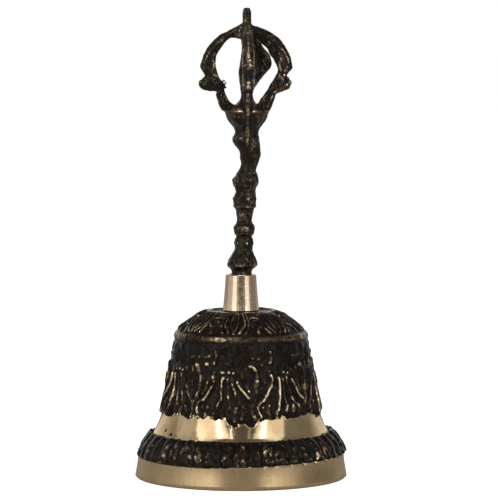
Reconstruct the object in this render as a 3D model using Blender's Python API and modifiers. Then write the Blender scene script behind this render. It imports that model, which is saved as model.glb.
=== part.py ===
"""Hand bell with a half-vajra handle and a hanging clapper, standing on its mouth.

The origin is the centre of the mouth's rim, +Z runs up the handle, and the front of the bell faces -Y.
Sizes below are in millimetres, and MM turns them into Blender's metres.
"""

import math

import bmesh
import bpy
from mathutils import Matrix, Vector

MM = 0.001
MERGE = 0.00001

# Driving dimensions
MOUTH_RADIUS = 37.5
HANDLE_TOP = 165.5
CROWN_TOP = 58.5
CROWN_THICKNESS = 2.9
FERRULE_HEIGHT = 13.2
FERRULE_FOOT = 6.45
FERRULE_TOP = 5.1
FIT_GAP = 0.3
BOLT_RADIUS = 2.0
BOLT_TOP = 77.5
CLEARANCE_HOLE = BOLT_RADIUS + FIT_GAP

# Fixings inside the crown, from the crown's underside down
CROWN_UNDERSIDE = CROWN_TOP - CROWN_THICKNESS
WASHER_RADIUS = 4.5
WASHER_THICKNESS = 0.8
NUT_ACROSS_FLATS = 7.0
NUT_HEIGHT = 3.2
NUT_CHAMFER = 0.25

# Hanging gear: a fixed eye, a loose wire link through it, and the rod's own loop
HANG_GAP = 0.2
EYE_CENTRE = 46.0
EYE_RING = 2.9
EYE_WIRE = 1.0
LINK_RING = 3.2
LINK_WIRE = 0.8
LINK_END_GAP = math.radians(5)
LOOP_RING = 2.3
ROD_WIRE = 0.9
BALL_RADIUS = 5.75
BALL_CENTRE = 8.5
BALL_SEAT_RADIUS = 2.4
BALL_SEAT_DEPTH = 0.15
JOIN_OVERLAP = 0.3

# Handle: where it starts inside the ferrule, and how far its crooked axis leans to +X
PLUG_BOTTOM = CROWN_TOP + 6.5
PLUG_RADIUS = 3.7
HANDLE_BORE = CLEARANCE_HOLE - 0.1
BORE_END_GAP = 0.6
CUTTER_OVERRUN = 1.0
LEAN_START = 68.0
LEAN_END = 120.0
LEAN = 1.9
PRONG_HALF_WIDTH = 1.85
PRONG_ROUNDING = 0.7
BACK_PRONG_TWIST = math.radians(27)
BACK_PRONG_BEND = (135.0, 147.0)

# Facets round each kind of turned or bent piece
BELL_STEPS = 60
FERRULE_STEPS = 48
WASHER_STEPS = 32
SHAFT_STEPS = 24
BORE_STEPS = 24
RING_STEPS = 24
SPOKE_STEPS = 16
ROD_STEPS = 16
BALL_STEPS = 32
SMOOTH_ANGLE = math.radians(35)

# Outer profile of the cast bell, (radius, height) from the crown's edge down to the rim
BELL_OUTSIDE = [
    (10.5, CROWN_TOP), (12.4, 58.25), (14.0, 57.6), (16.6, 56.2), (19.5, 54.0),
    (22.3, 51.9), (23.5, 50.7), (23.9, 49.3), (24.4, 48.7), (24.4, 47.7), (24.1, 47.2),
    (24.3, 46.0), (25.0, 42.0), (25.7, 38.0), (26.4, 33.7), (27.2, 30.3), (28.1, 27.4),
    (28.6, 25.2), (28.6, 22.9), (28.2, 22.3), (28.5, 20.7), (29.2, 18.8), (30.2, 16.9),
    (31.2, 16.4), (33.2, 14.6), (34.8, 12.2), (36.2, 10.0), (36.9, 8.6), (36.8, 7.3),
    (36.5, 6.8), (MOUTH_RADIUS, 0.5), (MOUTH_RADIUS - 0.5, 0.0),
]
# Inner profile, from the rim up to the crown's underside
BELL_INSIDE = [
    (34.8, 0.0), (34.3, 0.6), (33.9, 3.0), (33.1, 7.0), (31.9, 11.0), (30.0, 14.5),
    (27.4, 18.0), (26.0, 21.0), (25.0, 25.0), (24.0, 30.0), (22.9, 36.0), (22.0, 42.0),
    (21.0, 47.0), (19.0, 50.5), (16.0, 53.0), (12.5, 54.8), (9.0, CROWN_UNDERSIDE),
]
# The turned part of the handle, (radius, height) from the cup under the prongs down to the plug
HANDLE_SHAFT = [
    (0.0, 129.2), (5.4, 129.7), (7.2, 130.6), (7.8, 130.3), (7.6, 129.2), (6.8, 127.6),
    (5.5, 125.8), (4.6, 124.2), (4.2, 122.6), (4.3, 120.8), (4.2, 118.8), (3.6, 116.4),
    (3.1, 113.6), (3.0, 110.6), (3.3, 108.6), (4.0, 106.6), (4.7, 104.8), (4.7, 103.4),
    (4.1, 101.8), (3.5, 100.0), (4.2, 98.9), (4.7, 97.6), (4.5, 96.4), (3.6, 95.0),
    (3.3, 93.4), (3.0, 91.2), (3.2, 89.6), (3.8, 88.2), (3.7, 86.8), (3.1, 85.0),
    (3.4, 83.2), (3.5, 81.4), (3.5, 79.8), (4.2, 77.8), (5.1, 75.6), (5.2, 74.4),
    (4.7, 73.2), (PLUG_RADIUS, 72.3), (PLUG_RADIUS, PLUG_BOTTOM), (0.0, PLUG_BOTTOM),
]
# The straight spoke inside the prongs, which ends in the tip above them
CENTRE_SPOKE = [
    (0.0, HANDLE_TOP), (0.9, HANDLE_TOP - 0.15), (1.4, HANDLE_TOP - 0.7), (1.65, 162.0),
    (1.85, 158.5), (1.8, 154.0), (1.6, 151.0), (2.2, 146.0), (2.6, 142.0), (2.3, 137.5),
    (2.0, 133.0), (2.0, 127.0), (0.0, 127.0),
]
# One prong's outline, (distance from the handle's axis, height): down its outer edge, over the
# brow and the snout of the sea-monster head, into the cup, and back up its inner edge
PRONG_OUTLINE = [
    (0.4, 159.6), (4.7, 157.6), (9.3, 155.5), (13.2, 151.3), (15.4, 147.1), (16.0, 144.4),
    (14.9, 141.6), (14.3, 140.1), (15.3, 139.2), (16.1, 138.0), (14.9, 136.3), (10.4, 135.1),
    (9.5, 132.6), (8.6, 129.8), (6.3, 125.9), (4.3, 122.8), (2.4, 123.8), (2.4, 128.4),
    (4.6, 129.9), (6.0, 131.5), (7.2, 134.4), (7.4, 136.9), (9.4, 139.9), (10.8, 145.0),
    (9.9, 148.5), (6.8, 153.1), (4.6, 154.5), (2.4, 154.2), (0.3, 153.2),
]
# Lumps that make the grip below the cup lopsided: (x, y, z, radius, height)
GRIP_LUMPS = [(-0.9, -0.6, 119.2, 3.7, 5.0), (1.7, -0.3, 113.6, 3.6, 8.5)]


def clear_scene():
    for obj in list(bpy.data.objects):
        bpy.data.objects.remove(obj)


def new_collection(name, parent):
    collection = bpy.data.collections.new(name)
    parent.children.link(collection)
    return collection


def make_material(name, colour, roughness, metallic):
    material = bpy.data.materials.new(name)
    material.use_nodes = True
    shader = material.node_tree.nodes["Principled BSDF"]
    shader.inputs["Base Color"].default_value = (*colour, 1.0)
    shader.inputs["Roughness"].default_value = roughness
    shader.inputs["Metallic"].default_value = metallic
    return material


def new_object(name, data, collection, material=None):
    obj = bpy.data.objects.new(name, data)
    collection.objects.link(obj)
    if material:
        data.materials.append(material)
    return obj


def mesh_from(bm, name):
    mesh = bpy.data.meshes.new(name)
    bm.to_mesh(mesh)
    bm.free()
    return mesh


def shade_round(mesh):
    mesh.shade_smooth()
    mesh.set_sharp_from_angle(angle=SMOOTH_ANGLE)


def evaluated_mesh(obj):
    """The object's evaluated mesh in world space, welded, with the object itself removed."""
    bpy.context.view_layer.update()
    graph = bpy.context.evaluated_depsgraph_get()
    mesh = bpy.data.meshes.new_from_object(obj.evaluated_get(graph))
    mesh.transform(obj.matrix_world)
    bpy.data.objects.remove(obj)
    bm = bmesh.new()
    bm.from_mesh(mesh)
    bmesh.ops.remove_doubles(bm, verts=bm.verts, dist=MERGE)
    bm.to_mesh(mesh)
    bm.free()
    return mesh


def turned(name, profile, steps, collection, material=None, closed=False):
    """A profile of (radius, height) points turned round Z. A closed profile leaves a hole down the axis."""
    mesh = bpy.data.meshes.new(name)
    points = [(radius * MM, 0.0, height * MM) for radius, height in profile]
    edges = [(i, i + 1) for i in range(len(points) - 1)]
    if closed:
        edges.append((len(points) - 1, 0))
    mesh.from_pydata(points, edges, [])
    obj = new_object(name, mesh, collection, material)
    screw = obj.modifiers.new("turn", "SCREW")
    screw.steps = screw.render_steps = steps
    screw.use_merge_vertices = True
    screw.merge_threshold = MERGE
    screw.use_smooth_shade = True
    return obj


def boolean(obj, other, operation):
    modifier = obj.modifiers.new(f"{operation.lower()} {other.name}", "BOOLEAN")
    modifier.operation = operation
    modifier.solver = "EXACT"
    modifier.object = other


def as_helper(obj):
    obj.hide_render = True
    obj.display_type = "WIRE"
    return obj


def cylinder(name, radius, bottom, top, segments, collection):
    bm = bmesh.new()
    bmesh.ops.create_cone(
        bm, cap_ends=True, segments=segments, radius1=radius * MM, radius2=radius * MM,
        depth=(top - bottom) * MM, matrix=Matrix.Translation((0, 0, (top + bottom) / 2 * MM)),
    )
    return new_object(name, mesh_from(bm, name), collection)


def smooth_step(value, start, end):
    share = min(1.0, max(0.0, (value - start) / (end - start)))
    return share * share * (3 - 2 * share)


def lean(mesh):
    """Shifts the mesh to the handle's crooked axis, which leaves the ferrule straight and drifts to +X."""
    for vertex in mesh.vertices:
        height = vertex.co.z / MM
        share = max(0.0, min(1.0, (height - LEAN_START) / (LEAN_END - LEAN_START)))
        vertex.co.x += LEAN * math.sin(share * math.pi / 2) * MM


def twist_back_prong(mesh):
    """Turns the upper part of a prong about the handle's axis, as its wax model was bent."""
    for vertex in mesh.vertices:
        share = smooth_step(vertex.co.z / MM, *BACK_PRONG_BEND)
        vertex.co = Matrix.Rotation(-BACK_PRONG_TWIST * share, 3, "Z") @ vertex.co


def wire_ring(name, centre, ring, wire, axis, collection, sweep=math.tau, start=0.0):
    """Bent round wire whose ring lies square to X or Y. A sweep under a full turn leaves its ends open."""
    closed = sweep >= math.tau
    curve = bpy.data.curves.new(name, "CURVE")
    curve.dimensions = "3D"
    curve.bevel_depth = wire * MM
    curve.bevel_resolution = 3
    curve.use_fill_caps = True
    spline = curve.splines.new("POLY")
    spline.use_cyclic_u = closed
    spline.points.add(RING_STEPS - 1)
    for i, point in enumerate(spline.points):
        angle = start + sweep * i / (RING_STEPS if closed else RING_STEPS - 1)
        across, up = ring * math.sin(angle), ring * math.cos(angle)
        x, y = (0.0, across) if axis == "X" else (across, 0.0)
        point.co = (x * MM, y * MM, (centre + up) * MM, 1.0)
    return new_object(name, curve, collection)


def make_bell_shell(collection, material):
    """The cast bell: crown, relief waist, two turned bands and the ribbed lip, all one casting."""
    hole = [(CLEARANCE_HOLE, CROWN_UNDERSIDE), (CLEARANCE_HOLE, CROWN_TOP)]
    profile = BELL_OUTSIDE + BELL_INSIDE + hole
    return turned("bell_shell", profile, BELL_STEPS, collection, material, closed=True)


def make_ferrule(collection, material):
    """Turned brass collar: a through hole for the bolt and a socket on top for the handle's plug."""
    bottom = CROWN_TOP + FIT_GAP
    top = CROWN_TOP + FERRULE_HEIGHT
    socket_floor = PLUG_BOTTOM - FIT_GAP
    socket = PLUG_RADIUS + FIT_GAP
    chamfer = 0.3
    taper = FERRULE_FOOT - FERRULE_TOP
    profile = [
        (socket, top), (FERRULE_TOP, top), (FERRULE_TOP + chamfer, top - chamfer),
        (FERRULE_TOP + 0.37 * taper, top - 3.5), (FERRULE_TOP + 0.6 * taper, top - 7.5),
        (FERRULE_TOP + 0.85 * taper, top - 11.0), (FERRULE_FOOT, bottom + chamfer),
        (FERRULE_FOOT - chamfer, bottom),
        (CLEARANCE_HOLE, bottom), (CLEARANCE_HOLE, socket_floor), (socket, socket_floor),
    ]
    return turned("ferrule", profile, FERRULE_STEPS, collection, material, closed=True)


def prong_mesh(name, helpers):
    """One prong in the XZ plane: a flat outline with its thickness and rounded edges."""
    curve = bpy.data.curves.new(name, "CURVE")
    curve.dimensions = "2D"
    curve.fill_mode = "BOTH"
    curve.resolution_u = 2
    curve.extrude = (PRONG_HALF_WIDTH - PRONG_ROUNDING) * MM
    curve.bevel_depth = PRONG_ROUNDING * MM
    curve.bevel_resolution = 1
    curve.offset = -PRONG_ROUNDING * MM
    spline = curve.splines.new("BEZIER")
    spline.use_cyclic_u = True
    spline.bezier_points.add(len(PRONG_OUTLINE) - 1)
    for point, (out, height) in zip(spline.bezier_points, PRONG_OUTLINE):
        point.co = (out * MM, height * MM, 0.0)
        point.handle_left_type = point.handle_right_type = "AUTO"
    obj = new_object(name, curve, helpers)
    obj.rotation_euler = (math.pi / 2, 0.0, 0.0)
    return evaluated_mesh(obj)


def add_prongs(handle, helpers):
    """Joins four prongs to the handle. The back one is twisted, and the front one sits slightly off."""
    azimuths = {"prong_right": 0.0, "prong_back": 90.0, "prong_left": 180.0, "prong_front": -87.7}
    for name, azimuth in azimuths.items():
        mesh = prong_mesh(name, helpers)
        mesh.transform(Matrix.Rotation(math.radians(azimuth), 4, "Z"))
        if name == "prong_back":
            twist_back_prong(mesh)
        lean(mesh)
        boolean(handle, as_helper(new_object(name, mesh, helpers)), "UNION")


def add_grip_lumps(handle, helpers):
    for i, (x, y, z, radius, height) in enumerate(GRIP_LUMPS):
        bm = bmesh.new()
        bmesh.ops.create_uvsphere(bm, u_segments=16, v_segments=10, radius=radius * MM)
        bmesh.ops.scale(bm, vec=Vector((1.0, 1.0, height / radius)), verts=bm.verts)
        bmesh.ops.translate(bm, vec=Vector((x, y, z)) * MM, verts=bm.verts)
        mesh = mesh_from(bm, f"grip_lump_{i}")
        lean(mesh)
        boolean(handle, as_helper(new_object(mesh.name, mesh, helpers)), "UNION")


def make_handle(collection, helpers, material):
    """The handle casting: plug, knopped grip, cup, four prongs and the spoke with its tip."""
    shaft = evaluated_mesh(turned("shaft", HANDLE_SHAFT, SHAFT_STEPS, helpers))
    lean(shaft)
    handle = new_object("handle_casting", shaft, collection, material)
    spoke = evaluated_mesh(turned("spoke", CENTRE_SPOKE, SPOKE_STEPS, helpers))
    lean(spoke)
    boolean(handle, as_helper(new_object("centre_spoke", spoke, helpers)), "UNION")
    add_prongs(handle, helpers)
    add_grip_lumps(handle, helpers)
    low, high = PLUG_BOTTOM - CUTTER_OVERRUN, BOLT_TOP + BORE_END_GAP
    bore = cylinder("handle_bore", HANDLE_BORE, low, high, BORE_STEPS, helpers)
    boolean(handle, as_helper(bore), "DIFFERENCE")
    return handle


def make_eye_bolt(collection, helpers, material):
    """The bolt that holds handle, ferrule and bell together. Its bent eye carries the clapper."""
    low = EYE_CENTRE + EYE_RING - JOIN_OVERLAP
    shank = cylinder("eye_bolt", BOLT_RADIUS, low, BOLT_TOP, BORE_STEPS, collection)
    shank.data.materials.append(material)
    eye = wire_ring("eye", EYE_CENTRE, EYE_RING, EYE_WIRE, "Y", helpers)
    eye_mesh = evaluated_mesh(eye)
    boolean(shank, as_helper(new_object("eye", eye_mesh, helpers)), "UNION")
    return shank


def make_washer(collection, material):
    top = CROWN_UNDERSIDE - FIT_GAP
    bottom = top - WASHER_THICKNESS
    profile = [
        (CLEARANCE_HOLE, top), (WASHER_RADIUS, top),
        (WASHER_RADIUS, bottom), (CLEARANCE_HOLE, bottom),
    ]
    return turned("crown_washer", profile, WASHER_STEPS, collection, material, closed=True)


def make_nut(collection, helpers, material):
    top = CROWN_UNDERSIDE - WASHER_THICKNESS - 2 * FIT_GAP
    bottom = top - NUT_HEIGHT
    corner = NUT_ACROSS_FLATS / math.sqrt(3)
    nut = cylinder("crown_nut", corner, bottom, top, 6, collection)
    nut.data.materials.append(material)
    bevel = nut.modifiers.new("chamfer", "BEVEL")
    bevel.width = NUT_CHAMFER * MM
    bevel.segments = 1
    low, high = bottom - CUTTER_OVERRUN, top + CUTTER_OVERRUN
    bore = cylinder("nut_bore", CLEARANCE_HOLE, low, high, BORE_STEPS, helpers)
    boolean(nut, as_helper(bore), "DIFFERENCE")
    return nut


def link_centre():
    """Height of the link's centre when its top rests on the eye's lower wire."""
    return EYE_CENTRE - EYE_RING + EYE_WIRE + HANG_GAP + LINK_WIRE - LINK_RING


def loop_centre():
    """Height of the rod loop's centre when it hangs on the link's lower wire."""
    return link_centre() - LINK_RING + LINK_WIRE + HANG_GAP + ROD_WIRE - LOOP_RING


def make_link(collection, material):
    """A wire ring bent shut, its butted ends turned away from both loops."""
    link = wire_ring(
        "clapper_link", link_centre(), LINK_RING, LINK_WIRE, "X", collection,
        sweep=math.tau - 2 * LINK_END_GAP, start=math.pi / 2 + LINK_END_GAP,
    )
    link.data.materials.append(material)
    return link


def make_clapper_rod(collection, helpers, material):
    """The rod, with a loop bent at its top and its lower end spread under the ball as a rivet head."""
    loop = loop_centre()
    rod_top = loop - LOOP_RING + JOIN_OVERLAP
    head_bottom = BALL_CENTRE - BALL_RADIUS - 0.9
    profile = [
        (0.0, rod_top), (ROD_WIRE, rod_top), (ROD_WIRE, head_bottom + 0.75),
        (1.9, head_bottom + 0.7), (1.7, head_bottom + 0.3), (1.0, head_bottom), (0.0, head_bottom),
    ]
    rod = turned("clapper_rod", profile, ROD_STEPS, collection, material)
    bent = evaluated_mesh(wire_ring("loop", loop, LOOP_RING, ROD_WIRE, "Y", helpers))
    boolean(rod, as_helper(new_object("rod_loop", bent, helpers)), "UNION")
    return rod


def make_ball(collection, helpers, material):
    """The striker: a cast ball drilled through for the rod, flat where the rivet head bears."""
    bm = bmesh.new()
    bmesh.ops.create_uvsphere(bm, u_segments=BALL_STEPS, v_segments=20, radius=BALL_RADIUS * MM)
    bmesh.ops.translate(bm, vec=Vector((0, 0, BALL_CENTRE * MM)), verts=bm.verts)
    ball = new_object("clapper_ball", mesh_from(bm, "clapper_ball"), collection, material)
    bottom, top = BALL_CENTRE - BALL_RADIUS, BALL_CENTRE + BALL_RADIUS
    low, high = bottom - CUTTER_OVERRUN, top + CUTTER_OVERRUN
    bore = cylinder("ball_bore", ROD_WIRE + FIT_GAP, low, high, ROD_STEPS, helpers)
    boolean(ball, as_helper(bore), "DIFFERENCE")
    seat = cylinder("ball_seat", BALL_SEAT_RADIUS, low, bottom + BALL_SEAT_DEPTH, ROD_STEPS, helpers)
    boolean(ball, as_helper(seat), "DIFFERENCE")
    return ball


def main():
    clear_scene()
    scene_root = bpy.context.scene.collection
    parts = new_collection("tibetan_bell", scene_root)
    helpers = new_collection("cutters", scene_root)

    antiqued = make_material("antiqued_brass", (0.045, 0.035, 0.026), 0.45, 0.9)
    polished = make_material("polished_brass", (0.78, 0.64, 0.42), 0.22, 1.0)
    steel = make_material("zinc_steel", (0.45, 0.44, 0.42), 0.35, 1.0)
    striker = make_material("striker_brass", (0.62, 0.47, 0.24), 0.35, 1.0)

    objects = [
        make_bell_shell(parts, antiqued),
        make_ferrule(parts, polished),
        make_handle(parts, helpers, antiqued),
        make_eye_bolt(parts, helpers, steel),
        make_washer(parts, steel),
        make_nut(parts, helpers, steel),
        make_link(parts, steel),
        make_clapper_rod(parts, helpers, steel),
        make_ball(parts, helpers, striker),
    ]
    for obj in objects:
        if obj.type == "MESH":
            shade_round(obj.data)


main()
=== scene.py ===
"""Looks of the tibetan hand bell: the relief bell, the half-vajra handle, the ferrule and the hanging gear.

Sizes and places are in millimetres and become Blender's metres through MM. The front of the bell
faces -Y, and an azimuth is counted from the front towards +X, in degrees.
"""

import math

import bmesh
import bpy
import numpy as np
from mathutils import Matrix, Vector


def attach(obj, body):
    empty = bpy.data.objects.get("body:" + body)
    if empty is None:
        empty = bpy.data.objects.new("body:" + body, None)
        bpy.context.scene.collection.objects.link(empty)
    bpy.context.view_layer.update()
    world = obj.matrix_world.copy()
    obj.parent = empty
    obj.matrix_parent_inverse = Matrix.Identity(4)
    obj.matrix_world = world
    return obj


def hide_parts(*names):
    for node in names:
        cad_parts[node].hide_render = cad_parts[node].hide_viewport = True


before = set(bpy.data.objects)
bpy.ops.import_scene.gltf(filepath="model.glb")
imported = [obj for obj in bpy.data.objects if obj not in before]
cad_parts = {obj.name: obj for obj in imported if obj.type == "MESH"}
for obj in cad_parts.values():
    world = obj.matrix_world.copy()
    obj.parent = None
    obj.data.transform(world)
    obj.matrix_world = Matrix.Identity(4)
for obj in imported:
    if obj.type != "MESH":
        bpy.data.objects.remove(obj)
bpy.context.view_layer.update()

MM = 0.001

# Bell mesh: angular steps outside and inside, and the spacing of its rows
BELL_COLUMNS = 540
INSIDE_COLUMNS = 180
RELIEF_ROW = 0.425
PLAIN_ROW = 1.0
INSIDE_ROW = 3.0
# Each of the eight sectors holds one festoon and one rosette
SECTOR_DEG = 360 / 8
FAN_AZIMUTH = -10.8
ROSETTE_AZIMUTH = FAN_AZIMUTH + 27.0
ROSETTE_RADIUS = 17.5
INNER_RING_RADIUS = 11.6
WAIST_RADIUS = 26.5
RIBS = 44
# Heights of the ring, the ribs' tops, the upper band's edges and ragged zone, the lip's edge, and
# the change from bright turned brass to satin
RING_HEIGHT = 50.45
RING_HALF_WIDTH = 1.15
ARCH_TOP = 16.4
BAND_EDGE = 23.4
BAND_FOOT = 15.9
RAGGED_LOW, RAGGED_HIGH = 20.3, 25.4
LIP_EDGE = 8.15
SATIN_TOP = 12.0
# How proud the motifs stand
BEAD_RISE, LUMP_RISE, RING_RISE = 0.62, 0.45, 0.5
ROSETTE_RISE, PETAL_RISE, INNER_RING_RISE = 0.62, 0.70, 0.7

# Outside of the casting before the relief, (radius, height) down from the crown's edge
CROWN_AND_WAIST = [
    (10.3, 58.4), (12.6, 58.3), (14.3, 57.6), (16.6, 56.2), (19.2, 54.5), (21.0, 53.2),
    (22.6, 51.8), (23.2, 50.6), (23.5, 49.2), (23.8, 47.2), (24.2, 45.0), (24.8, 41.6), (25.4, 38.0),
    (25.9, 34.5), (26.5, 31.2), (27.1, 28.4), (27.7, 25.6), (28.2, 23.6), (28.9, 21.4), (29.6, 19.6),
    (30.4, 17.8), (31.3, 15.8),
]
RIB_BAND = [
    (31.5, 15.9), (32.3, 15.2), (33.5, 13.9), (34.5, 12.5), (35.3, 11.1), (35.9, 9.7), (36.4, 8.4),
    (36.7, 7.4),
]
LIP = [(36.5, 7.2), (36.7, 5.2), (37.2, 2.2), (37.5, 0.5), (37.0, 0.0)]
# The lathe's cuts, (radius, height), which flatten whatever stands above them
UPPER_CUT = [
    (31.3, 15.5), (30.2, 17.2), (29.35, 19.0), (28.7, 20.7), (28.2, 22.3), (27.8, 24.0), (27.3, 26.5),
]
LOWER_CUT = [(36.4, 6.4), (36.5, 7.5), (36.5, 10.5)]
INSIDE = [
    (34.8, 0.0), (34.3, 0.6), (33.9, 3.0), (33.1, 7.0), (31.9, 11.0), (30.0, 14.5),
    (27.4, 18.0), (26.0, 21.0), (25.0, 25.0), (24.0, 30.0), (22.9, 36.0), (22.0, 42.0),
    (21.0, 47.0), (19.0, 50.5), (16.0, 53.0), (12.5, 54.8), (9.0, 55.6), (2.3, 55.6),
    (2.3, 58.3),
]

# One festoon, drawn on the waist sideways from its middle and up from the mouth, as (points,
# half width, height)
FAN_STRINGS = [
    ([(-4.6, 37.6), (-4.5, 36.0), (-5.7, 33.2), (-7.4, 30.4), (-9.7, 28.4), (-10.1, 26.4),
      (-9.3, 24.2)], 0.8, 1.3),
    ([(-1.6, 37.4), (-1.7, 33.0), (-2.4, 29.0), (-3.9, 23.6)], 0.75, 1.35),
    ([(0.2, 37.2), (0.3, 32.2), (0.5, 28.4)], 0.6, 0.6),
    ([(1.7, 37.8), (2.6, 33.4), (3.9, 29.2), (4.7, 28.0)], 0.7, 0.75),
    ([(3.9, 36.4), (5.6, 33.3), (7.5, 30.4), (9.3, 28.8)], 0.8, 1.0),
    ([(8.8, 41.2), (10.5, 38.4), (11.0, 36.2), (10.5, 33.0), (9.5, 29.4)], 1.1, 1.15),
    ([(6.8, 40.4), (7.1, 36.0), (7.8, 32.8), (9.4, 29.6)], 0.7, 0.55),
    ([(4.2, 40.0), (5.6, 38.2), (6.0, 36.2)], 1.0, 0.6),
    ([(9.5, 29.4), (8.6, 27.4), (9.1, 24.0)], 1.0, 1.05),
    ([(3.4, 27.4), (2.9, 25.6), (3.1, 23.4)], 0.9, 0.8),
    ([(5.4, 27.8), (6.1, 26.0), (5.4, 24.0)], 0.9, 0.9),
    ([(0.7, 27.6), (0.4, 25.6), (0.9, 23.8)], 0.9, 0.85),
    ([(-6.2, 27.8), (-6.6, 25.8), (-6.0, 23.4)], 0.8, 0.75),
    ([(-7.2, 35.6), (-7.9, 33.6), (-9.2, 31.8)], 0.7, 0.45),
    ([(-9.2, 44.3), (-7.0, 44.6)], 0.7, 0.4),
    ([(6.0, 44.4), (8.2, 44.7), (9.6, 44.4)], 0.7, 0.55),
    ([(-4.6, 46.0), (-4.3, 44.2), (-4.6, 42.2)], 0.9, 1.0),
]
FAN_BEADS = [
    (-4.6, 38.8, 1.05), (-1.9, 39.3, 0.65), (0.2, 39.6, 0.6), (2.1, 39.2, 0.65), (-10.8, 40.2, 0.7),
    (7.2, 27.0, 0.9), (-8.2, 27.4, 0.8),
]
# Worn lumps: those of the frieze under the ring, and small ones between the strings
WORN_LUMPS = [
    (-7.6, 47.0, 1.5), (-1.6, 47.0, 1.9), (3.9, 46.7, 2.0), (8.4, 47.0, 1.3), (-0.2, 43.0, 1.6),
    (-8.0, 41.8, 1.1), (-3.4, 34.0, 0.8), (-2.6, 26.4, 0.9), (6.6, 31.0, 0.7),
]
# Half of a crown petal group, in degrees from the rosette's middle and millimetres out from the
# axis, as (points, half width). What starts beside the middle has a mirror image.
CROWN_STRINGS = [
    ([(13.5, 12.4), (11.5, 15.5), (12.5, 19.0), (17.5, 22.0)], 0.45),
    ([(10.0, 12.8), (8.0, 15.2), (8.5, 19.0), (12.0, 22.2)], 0.45),
    ([(22.5, 12.4), (22.4, 17.0), (22.5, 22.2)], 0.5),
    ([(19.5, 12.8), (18.6, 16.5), (20.0, 19.6), (21.6, 21.2)], 0.4),
    ([(0.0, 20.4), (0.5, 22.4)], 0.6),
]
# Where the patina runs down over the upper band: azimuth, half width in degrees, drop
BAND_DRIPS = [
    (2.0, 15.0, 2.3), (-96.0, 9.0, 1.6), (74.0, 7.0, 1.3), (141.0, 11.0, 1.9), (-148.0, 8.0, 1.4),
]
# Casting pits in the upper band: azimuth, height, half sizes
BAND_PITS = [(-53.0, 17.0, 1.1, 0.5), (-61.0, 17.9, 0.7, 0.45), (118.0, 18.4, 0.8, 0.5)]

# Handle: how far its crooked axis lies to +X at each height, and its turned outline
HANDLE_AXIS = [
    (64.0, 0.0), (70.0, 0.15), (74.0, 0.35), (79.0, 0.7), (85.0, 1.15), (91.0, 1.2), (94.0, 1.5),
    (99.0, 1.4), (104.8, 1.6), (107.6, 2.1), (110.4, 2.8), (113.2, 3.05), (116.0, 2.7),
    (118.8, 2.3), (121.6, 2.3), (126.0, 2.1), (166.0, 2.1),
]
FINIAL_X = 2.1
# Above the first height the outline is the grip's, and within the radius it is the bore's
PLUG_TOP = 72.8
BORE_REACH = 2.4
BORE_TOP = 79.0
HANDLE_OUTLINE = [
    (0.0, 129.0), (4.2, 129.3), (6.3, 129.9), (7.2, 129.8), (7.55, 129.0), (7.2, 127.9), (6.9, 127.2),
    (6.2, 125.8), (5.3, 124.4), (4.5, 123.0), (4.15, 121.6), (4.4, 119.6), (4.3, 117.6), (3.7, 115.6),
    (3.3, 112.8), (3.0, 110.4), (3.2, 108.6), (3.8, 107.3), (4.55, 105.8), (4.7, 104.6),
    (4.5, 103.2), (3.8, 101.9), (3.6, 101.0), (4.0, 99.9), (4.2, 98.4), (4.35, 97.2),
    (4.2, 96.0), (3.6, 94.9), (3.2, 93.4), (2.85, 91.0), (3.0, 89.8), (3.7, 88.6),
    (3.75, 87.2), (3.2, 86.0), (2.85, 85.0), (3.3, 83.8), (3.45, 82.2), (3.35, 80.8),
    (3.7, 79.3), (4.3, 78.0), (4.8, 76.6), (5.1, 75.4), (4.8, 74.3), (4.1, 73.5),
    (3.6, 72.9), (3.6, 65.1), (2.3, 65.1), (2.3, 78.0), (0.0, 78.0),
]
# Sharp collars round the grip: height, how proud, half height
COLLARS = [
    (129.2, 0.25, 0.5), (124.2, 0.22, 0.4), (101.5, 0.2, 0.35), (95.5, 0.42, 0.45), (92.6, 0.16, 0.3),
    (86.0, 0.34, 0.4), (84.0, 0.16, 0.3), (79.6, 0.2, 0.3), (74.8, 0.3, 0.4), (107.6, 0.2, 0.35),
]
# Faces round the knots: height, half height, number
KNOTS = [(87.8, 2.0, 3), (97.8, 2.4, 4), (104.8, 3.0, 2), (82.2, 2.2, 3)]
# The lumps that make the S: how proud, height, half height, angle in radians
GRIP_LUMPS = [(1.05, 119.2, 2.4, -1.45), (0.9, 113.8, 3.0, 1.5)]
# Rows of beads round the knots: height, number, bead size
BEAD_ROWS = [
    (104.9, 7, 1.1), (98.4, 7, 0.75), (88.2, 7, 0.7), (82.6, 6, 0.75), (127.4, 10, 0.85),
]
# Leaves round the grip's foot: their number, and a vein's (height, share of the lean)
FOOT_LEAVES = 6
LEAF_VEIN = [(79.6, 0.0), (77.8, 0.35), (76.4, 0.75), (75.0, 1.0)]
# The bright ridge that runs down from the front prong over the cup: out from the axis, height
FRONT_RIDGE = [
    (9.6, 134.0), (9.2, 131.6), (8.4, 129.6), (7.3, 127.2), (5.9, 124.4), (5.0, 121.6),
    (4.6, 119.2), (3.7, 116.4),
]
CENTRE_SPOKE = [
    (0.0, 165.5), (0.8, 165.45), (1.2, 165.1), (1.35, 163.8), (1.5, 160.5), (1.75, 158.0),
    (1.8, 154.0), (1.7, 151.0), (2.3, 146.5), (2.85, 142.5), (2.4, 138.0), (2.0, 135.2),
    (2.5, 133.2), (3.6, 131.7), (4.6, 130.4), (4.6, 127.0), (0.0, 127.0),
]
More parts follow.
